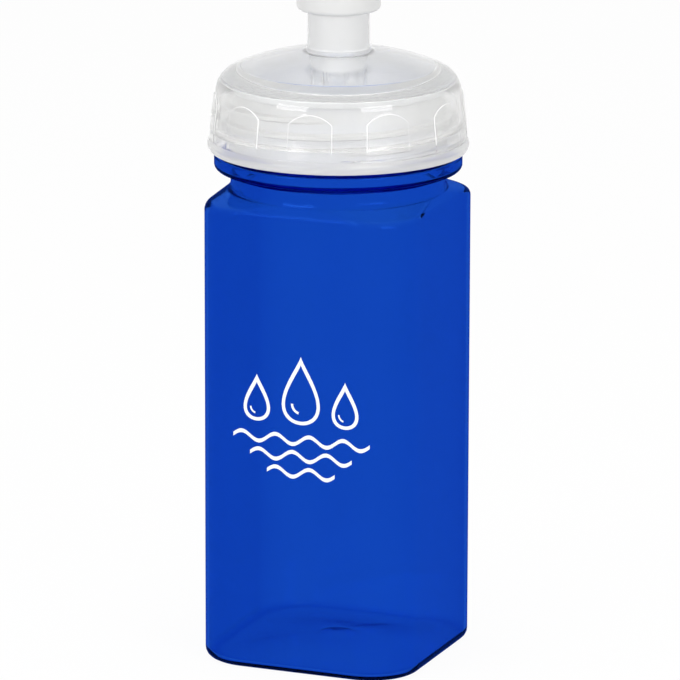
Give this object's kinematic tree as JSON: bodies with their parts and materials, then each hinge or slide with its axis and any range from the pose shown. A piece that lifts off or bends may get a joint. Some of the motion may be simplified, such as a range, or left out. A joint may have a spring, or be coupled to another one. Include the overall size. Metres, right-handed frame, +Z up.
{
  "type": "sports water bottle",
  "caption": "Square-bodied translucent sports water bottle with a beaded round neck, domed screw lid with arched grips, sealing ring and push-pull drinking spout.",
  "frame": {"origin": "middle of the base, on the plane that the bottle stands on", "axes": "+Z up along the bottle's axis; the flat walls face +X, -X, +Y and -Y, and the print is on the -Y wall"},
  "size_m": [0.072, 0.072, 0.1906],
  "materials": {
    "blue_plastic": "clear tinted, polished",
    "frosted_plastic": "milky, half clear, satin",
    "seal_rubber": "matt",
    "white_plastic": "satin"
  },
  "bodies": {
    "bottle": {"bottle_body": "blue_plastic"},
    "seal": {"lid_gasket": "seal_rubber"},
    "lid": {"screw_lid": "frosted_plastic"},
    "spout": {"pull_spout": "white_plastic"}
  },
  "joints": [
    {"name": "lid_rise", "type": "slide", "parent": "bottle", "child": "seal", "axis": [0, 0, 1], "range_m": [0, 0.0225]},
    {"name": "lid_turn", "type": "hinge", "parent": "seal", "child": "lid", "pos_m": [0, 0, 0.15], "axis": [0, 0, 1], "range_deg": [0, 1800]},
    {"name": "spout_pull", "type": "slide", "parent": "lid", "child": "spout", "axis": [0, 0, 1], "range_m": [0, 0.0065]}
  ],
  "couplings": [
    {"joint": "lid_rise", "follows": "lid_turn", "m_per_rad": 0.0007162}
  ]
}
